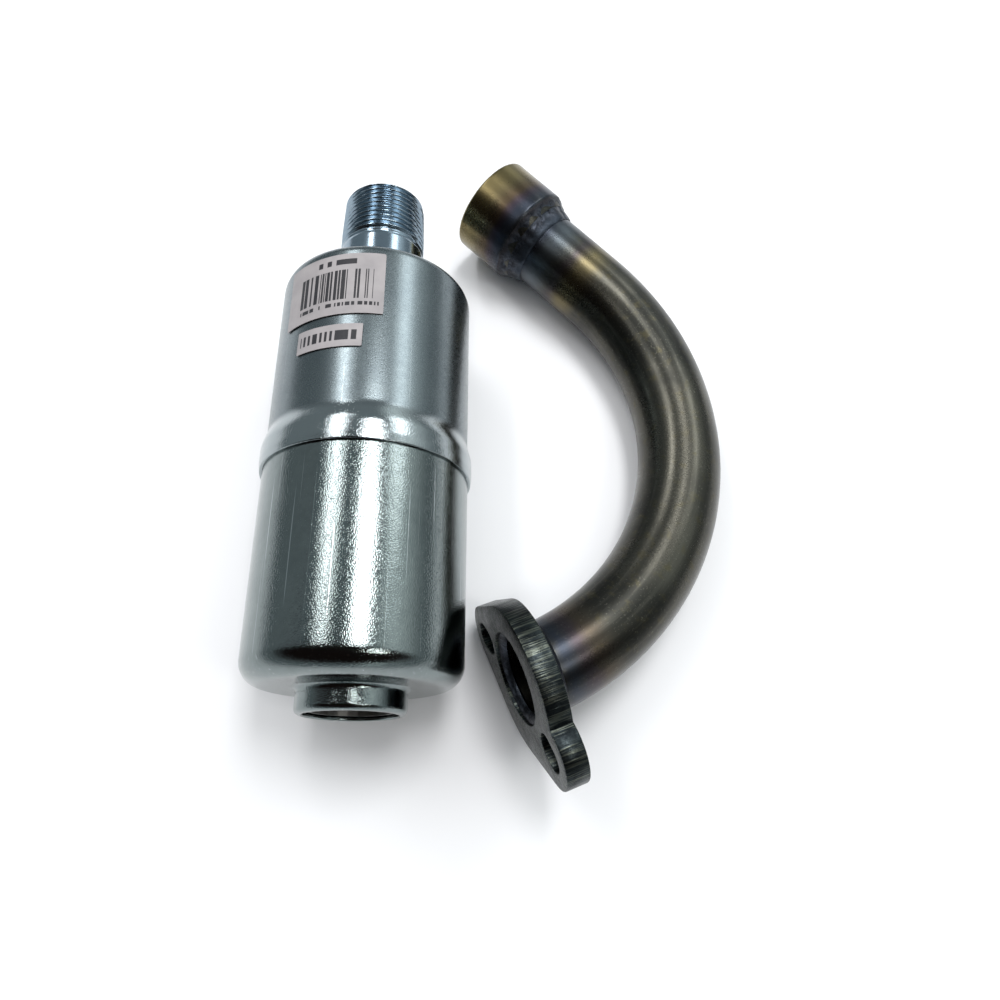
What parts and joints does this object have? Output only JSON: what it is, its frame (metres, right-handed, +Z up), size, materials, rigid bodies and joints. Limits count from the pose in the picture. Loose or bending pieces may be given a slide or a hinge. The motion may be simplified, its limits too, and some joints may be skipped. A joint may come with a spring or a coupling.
{
  "type": "racing exhaust system",
  "caption": "Small-engine exhaust: a bent steel header with slotted flange and threaded coupling, lying beside a two-shell canister muffler with a pipe-thread nipple.",
  "frame": {"origin": "middle of the footprint, on the surface that both pieces lie on", "axes": "+Y along the muffler from its outlet to its nipple, +X from the muffler towards the header, +Z up"},
  "size_m": [0.138, 0.2064, 0.0604],
  "materials": {
    "satin_zinc": "satin zinc plate with faint blue sheen",
    "bright_zinc": "bright zinc plate with fine spangle",
    "plain_steel": "plain drawn steel",
    "heat_steel": "bare steel with heat tint and oil film",
    "weld_steel": "dark rippled weld",
    "flange_steel": "dark cut steel plate",
    "label_paper": "satin printed paper"
  },
  "bodies": {
    "header": {"header_pipe": "heat_steel", "coupling": "heat_steel", "coupling_weld": "weld_steel", "flange_plate": "flange_steel", "flange_weld": "weld_steel", "bore_weld": "weld_steel"},
    "muffler": {"inlet_shell": "satin_zinc", "outlet_shell": "bright_zinc", "inlet_nipple": "satin_zinc", "nipple_weld": "satin_zinc", "diffuser_tube": "plain_steel", "diffuser_cap": "plain_steel", "baffle_plate": "plain_steel", "outlet_tube": "plain_steel", "stock_label": "label_paper", "small_label": "label_paper"}
  },
  "joints": [
    {"name": "muffler_lift", "type": "slide", "parent": "header", "child": "muffler", "axis": [0, 0, 1], "range_m": [0, 0.12]}
  ]
}
